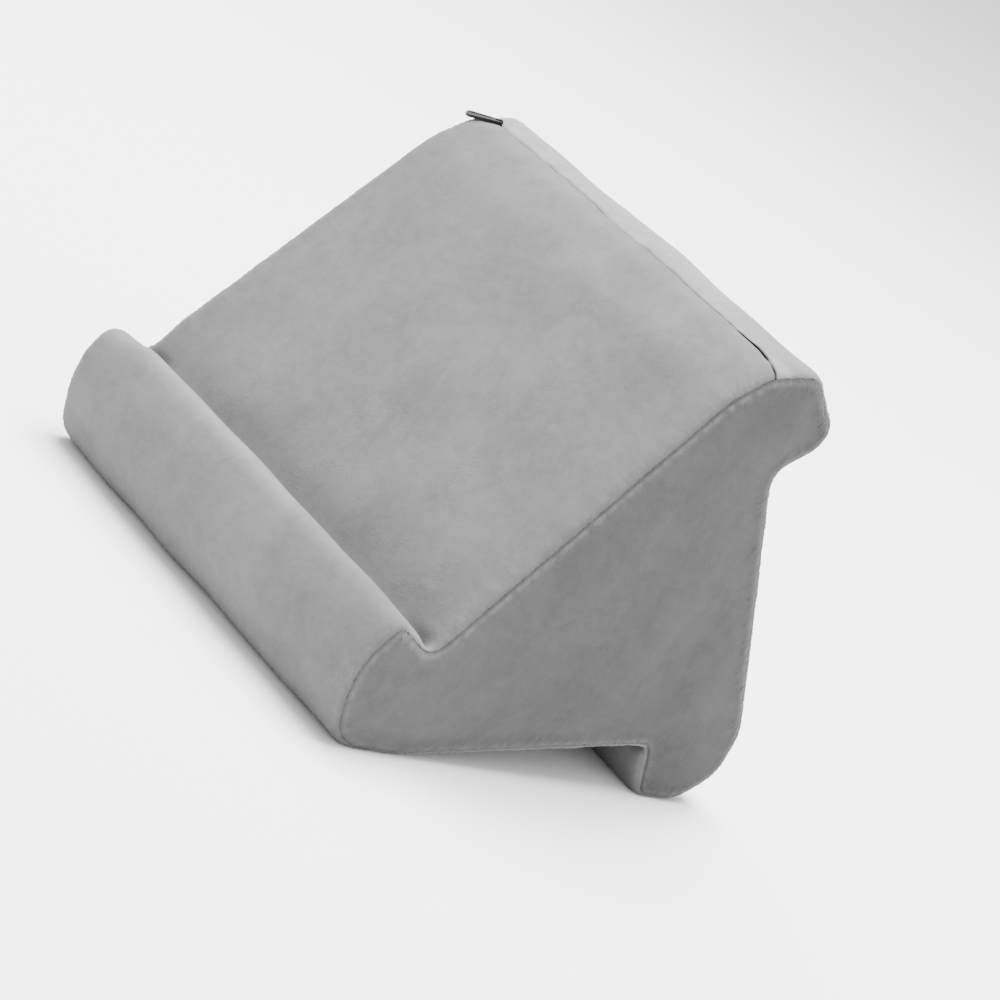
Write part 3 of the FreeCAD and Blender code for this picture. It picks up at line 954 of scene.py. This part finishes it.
mottle = makeMottle()
strokes = makeStrokes()
nap = makeNap()
weave = makeWeave()


def newMaterial(name):
    material = bpy.data.materials.new(name)
    material.use_nodes = True
    tree = material.node_tree
    place = tree.nodes.new("ShaderNodeTexCoord")
    return material, tree, tree.nodes["Principled BSDF"].inputs, place.outputs["Object"]


def addGroup(tree, group, vector, **inputs):
    node = addNode(tree, "ShaderNodeGroup", {"node_tree": group}, **inputs)
    tree.links.new(vector, node.inputs["Vector"])
    return node.outputs


def mixColours(tree, factor, first, second, blend="MIX"):
    # factor, first and second are sockets, numbers or colours
    node = addNode(tree, "ShaderNodeMix", {"data_type": "RGBA", "blend_type": blend})
    for socket, term in zip((node.inputs[0], *node.inputs[6:8]), (factor, first, second)):
        if isinstance(term, bpy.types.NodeSocket):
            tree.links.new(term, socket)
        else:
            socket.default_value = term
    return node.outputs[2]


def addBump(tree, height, distance, strength, before=None):
    node = addNode(tree, "ShaderNodeBump", Strength=strength, Distance=distance)
    tree.links.new(height, node.inputs["Height"])
    if before:
        tree.links.new(before, node.inputs["Normal"])
    return node.outputs["Normal"]


def finishShader(tree, shader, colour, bump, values):
    tree.links.new(colour, shader["Base Color"])
    if bump:
        tree.links.new(bump, shader["Normal"])
    for label, value in values.items():
        shader[label].default_value = value


plush = {
    "light": (0.140, 0.1395, 0.141, 1),
    "dark": (0.108, 0.1073, 0.1088, 1),
    "endShadeShare": 0.57,  # painted shade: the upright end panels are painted darker than the rest of the cover
    "seamHighlightColour": (0.21, 0.21, 0.212, 1),  # painted highlight beside a seam
    "seamShadowColour": (0.030, 0.029, 0.030, 1),  # painted shadow down in a seam
    "shade": (0, 0, 0, 1),
    "mottleScale": 20.0,
    "mottleContrast": 4.4,
    # strength of the painted light and shade
    "lightShadeStrength": 0.32,
    "strokeScale": 230.0,
    "strokeShade": 0.11,
    "strokeDistance": 0.16 * mm,
    "napScale": 1300.0,
    "napShade": 0.14,
    "napDistance": 0.28 * mm,
    "bump": 0.5,
    "finish": {
        "Roughness": 0.95,
        "Sheen Weight": 0.12,
        "Sheen Roughness": 0.45,
        "Specular IOR Level": 0.15,
    },
}


def plushMaterial(name, share):
    material, tree, shader, vector = newMaterial(name)
    contrast = plush["mottleContrast"]
    patches = addGroup(tree, mottle, vector, Scale=plush["mottleScale"], Contrast=contrast)
    marks = addGroup(tree, strokes, vector, Scale=plush["strokeScale"])
    fibres = addGroup(tree, nap, vector, Scale=plush["napScale"])
    lift, highlights, shadow = (
        addNode(tree, "ShaderNodeAttribute", {"attribute_name": label}).outputs["Fac"]
        for label in ("paintedLightShade", "seamHighlight", "seamShadow")
    )
    # a share below 1 paints the colours darker, as shade
    dark, light = (tuple(c * share for c in plush[key][:3]) + (1,) for key in ("dark", "light"))
    colour = mixColours(tree, patches["Fac"], dark, light)
    markShade = addMath(tree, "MULTIPLY", marks["Mask"], plush["strokeShade"])
    colour = mixColours(tree, markShade, colour, plush["shade"])
    napShade = addMath(tree, "MULTIPLY", fibres["Fac"], plush["napShade"])
    colour = mixColours(tree, napShade, colour, plush["shade"])
    # painted light and shade: lighter on the lip's crest and over the nose, darker under the lip
    # and towards the right end
    lightShadeFactor = addMath(tree, "MULTIPLY_ADD", lift, plush["lightShadeStrength"], 1.0)
    grey = tree.nodes.new("ShaderNodeCombineColor")
    for channel in ("Red", "Green", "Blue"):
        tree.links.new(lightShadeFactor, grey.inputs[channel])
    colour = mixColours(tree, 1.0, colour, grey.outputs["Color"], "MULTIPLY")
    # painted highlight beside the seams
    highlightShare = addMath(tree, "MULTIPLY", highlights, fibres["Fac"])
    colour = mixColours(tree, highlightShare, colour, plush["seamHighlightColour"])
    # painted shadow down in the seams, the zip's slit and the ledge's corners
    colour = mixColours(tree, shadow, colour, plush["seamShadowColour"])
    bump = addBump(tree, fibres["Height"], plush["napDistance"], plush["bump"])
    bump = addBump(tree, marks["Height"], plush["strokeDistance"], plush["bump"], bump)
    finishShader(tree, shader, colour, bump, plush["finish"])
    return material


tape = {
    "light": (0.20, 0.20, 0.205, 1),
    "dark": (0.11, 0.11, 0.112, 1),
    "threads": 1100.0,
}
lining = {
    "light": (0.80, 0.80, 0.78, 1),
    "dark": (0.62, 0.62, 0.60, 1),
    "threads": 600.0,
}
wovenCloth = {
    "fuzzScale": 2.0,  # times the threads
    "patchScale": 60.0,
    "contrast": 1.2,
    "threadDistance": 0.15 * mm,
    "threadBump": 0.6,
    "fuzzDistance": 0.1 * mm,
    "fuzzBump": 0.4,
    "finish": {"Roughness": 0.9, "Sheen Weight": 0.2},
}


def clothMaterial(name, look):
    material, tree, shader, vector = newMaterial(name)
    woven = addGroup(tree, weave, vector, Threads=look["threads"])
    fuzz = addGroup(tree, nap, vector, Scale=wovenCloth["fuzzScale"] * look["threads"])
    contrast = wovenCloth["contrast"]
    patches = addGroup(tree, mottle, vector, Scale=wovenCloth["patchScale"], Contrast=contrast)
    colour = mixColours(tree, patches["Fac"], look["dark"], look["light"])
    colour = mixColours(tree, woven["Gaps"], colour, look["dark"])
    threadDistance, threadBump = wovenCloth["threadDistance"], wovenCloth["threadBump"]
    bump = addBump(tree, woven["Height"], threadDistance, threadBump)
    bump = addBump(tree, fuzz["Height"], wovenCloth["fuzzDistance"], wovenCloth["fuzzBump"], bump)
    finishShader(tree, shader, colour, bump, wovenCloth["finish"])
    return material


foam = {
    "light": (0.80, 0.78, 0.70, 1),
    "dark": (0.62, 0.60, 0.52, 1),
    "cellScale": 700.0,
    "patchScale": 30.0,
    "distance": 0.5 * mm,
    "bump": 0.7,
    "finish": {"Roughness": 0.95},
}


def foamMaterial():
    material, tree, shader, vector = newMaterial("wireCutFoam")
    cells = addNode(tree, "ShaderNodeTexVoronoi", Scale=foam["cellScale"], Randomness=1.0)
    tree.links.new(vector, cells.inputs["Vector"])
    patches = addGroup(tree, mottle, vector, Scale=foam["patchScale"])
    colour = mixColours(tree, patches["Fac"], foam["dark"], foam["light"])
    bump = addBump(tree, cells.outputs["Distance"], foam["distance"], foam["bump"])
    finishShader(tree, shader, colour, bump, foam["finish"])
    return material


nylon = {
    "light": (0.24, 0.24, 0.245, 1),
    "dark": (0.16, 0.16, 0.165, 1),
    "patchScale": 300.0,
    "grainScale": 2400.0,
    "distance": 0.05 * mm,
    "bump": 0.3,
    "finish": {"Roughness": 0.45},
}


def nylonMaterial():
    material, tree, shader, vector = newMaterial("zipNylon")
    patches = addGroup(tree, mottle, vector, Scale=nylon["patchScale"])
    grain = addGroup(tree, nap, vector, Scale=nylon["grainScale"])
    colour = mixColours(tree, patches["Fac"], nylon["dark"], nylon["light"])
    bump = addBump(tree, grain["Height"], nylon["distance"], nylon["bump"])
    finishShader(tree, shader, colour, bump, nylon["finish"])
    return material


lacquer = {
    "light": (0.0040, 0.0040, 0.0042, 1),
    "dark": (0.0016, 0.0016, 0.0018, 1),
    "rubbed": (0.018, 0.018, 0.0185, 1),
    "rubShare": 0.5,
    "patchScale": 220.0,
    "contrast": 1.4,
    "scuffScale": 900.0,
    "scuffClusters": 180.0,
    "roughness": 0.42,
    "roughnessSpread": 0.2,
    "distance": 0.04 * mm,
    "bump": 0.3,
    "finish": {"Specular IOR Level": 0.3},
}


def lacquerMaterial():
    # black lacquer over metal, rubbed through in small patches
    material, tree, shader, vector = newMaterial("blackLacquer")
    contrast, clusters = lacquer["contrast"], lacquer["scuffClusters"]
    patches = addGroup(tree, mottle, vector, Scale=lacquer["patchScale"], Contrast=contrast)
    scuffs = addGroup(tree, strokes, vector, Scale=lacquer["scuffScale"], Clusters=clusters)
    colour = mixColours(tree, patches["Fac"], lacquer["dark"], lacquer["light"])
    rub = addMath(tree, "MULTIPLY", scuffs["Mask"], lacquer["rubShare"])
    colour = mixColours(tree, rub, colour, lacquer["rubbed"])
    spread, least = lacquer["roughnessSpread"], lacquer["roughness"]
    rough = addMath(tree, "MULTIPLY_ADD", patches["Fac"], spread, least)
    tree.links.new(rough, shader["Roughness"])
    bump = addBump(tree, scuffs["Height"], lacquer["distance"], lacquer["bump"])
    finishShader(tree, shader, colour, bump, lacquer["finish"])
    return material


def paint(pieces, material):
    for piece in pieces:
        piece.data.materials.clear()
        piece.data.materials.append(material)


paint([facePanel, backPanel, basePanel], plushMaterial("plushGrey", 1.0))
# the end panels get a darker copy of the plush, as painted shade
paint([rightPanel, leftPanel], plushMaterial("plushGreyShadedEnds", plush["endShadeShare"]))
paint([foamBlock], foamMaterial())
paint([liningBag], clothMaterial("liningCloth", lining))
slotMaterials = {
    "zip_tape": clothMaterial("zipTape", tape),
    "zip_nylon": nylonMaterial(),
    "zip_metal": lacquerMaterial(),
}
slotOf = {part["node"]: part["material_slot"] for part in frame["record"]["subparts"]}
for name, node in nodes.items():
    if slotOf[name] in slotMaterials:
        paint([node], slotMaterials[slotOf[name]])
print("materials on")

view = {
    "place": (1.0915, -1.1824, 0.5458),
    "forward": (-0.6428, 0.7156, -0.2733),
    "roll": -30.9,
    "lens": 121.8,
    "sensor": 36.0,
    "farthest": 20.0,
}


def addCamera():
    camera = bpy.data.objects.new("camera", bpy.data.cameras.new("camera"))
    bpy.context.scene.collection.objects.link(camera)
    forward = Vector(view["forward"]).normalized()
    level = forward.to_track_quat("-Z", "Y").to_matrix()
    turn = Matrix.Rotation(math.radians(view["roll"]), 3, forward)
    camera.matrix_world = Matrix.Translation(view["place"]) @ (turn @ level).to_4x4()
    camera.data.lens = view["lens"]
    camera.data.sensor_width = view["sensor"]
    camera.data.clip_end = view["farthest"]
    bpy.context.scene.camera = camera


studio = {
    "floor": (0.93, 0.93, 0.93),
    "floorDark": 0.985,  # share of that in its darker patches
    "floorPatches": {"Scale": 3.0, "Contrast": 0.6},
    "floorFinish": {"Roughness": 0.95, "Specular IOR Level": 0.1},
    "floorSize": 12.0,
    "sky": (1.0, 1.0, 1.0),
    "skyStrength": 1.45,
    "lampPlace": (-0.45, 0.3, 2.6),
    "lampAim": (0, 0, 0.1),
    "lampSize": 2.2,
    "lampPower": 420.0,
}


def floorMaterial():
    material, tree, shader, vector = newMaterial("paleFloor")
    patches = addGroup(tree, mottle, vector, **studio["floorPatches"])
    light = studio["floor"] + (1,)
    dark = tuple(c * studio["floorDark"] for c in studio["floor"]) + (1,)
    colour = mixColours(tree, patches["Fac"], dark, light)
    finishShader(tree, shader, colour, None, studio["floorFinish"])
    return material


def addStudio():
    mesh = bpy.data.meshes.new("floor")
    half = studio["floorSize"] / 2
    corners = [(-half, -half, 0), (half, -half, 0), (half, half, 0), (-half, half, 0)]
    mesh.from_pydata(corners, [], [(0, 1, 2, 3)])
    floor = bpy.data.objects.new("floor", mesh)
    bpy.context.scene.collection.objects.link(floor)
    paint([floor], floorMaterial())
    world = bpy.data.worlds.new("studio")
    world.use_nodes = True
    background = world.node_tree.nodes["Background"]
    background.inputs["Color"].default_value = studio["sky"] + (1,)
    background.inputs["Strength"].default_value = studio["skyStrength"]
    bpy.context.scene.world = world
    lamp = bpy.data.objects.new("key", bpy.data.lights.new("key", "AREA"))
    lamp.data.energy = studio["lampPower"]
    lamp.data.size = studio["lampSize"]
    aim = Vector(studio["lampAim"]) - Vector(studio["lampPlace"])
    lamp.location = studio["lampPlace"]
    lamp.rotation_euler = aim.to_track_quat("-Z", "Y").to_euler()
    bpy.context.scene.collection.objects.link(lamp)


addCamera()
addStudio()
print("studio set")
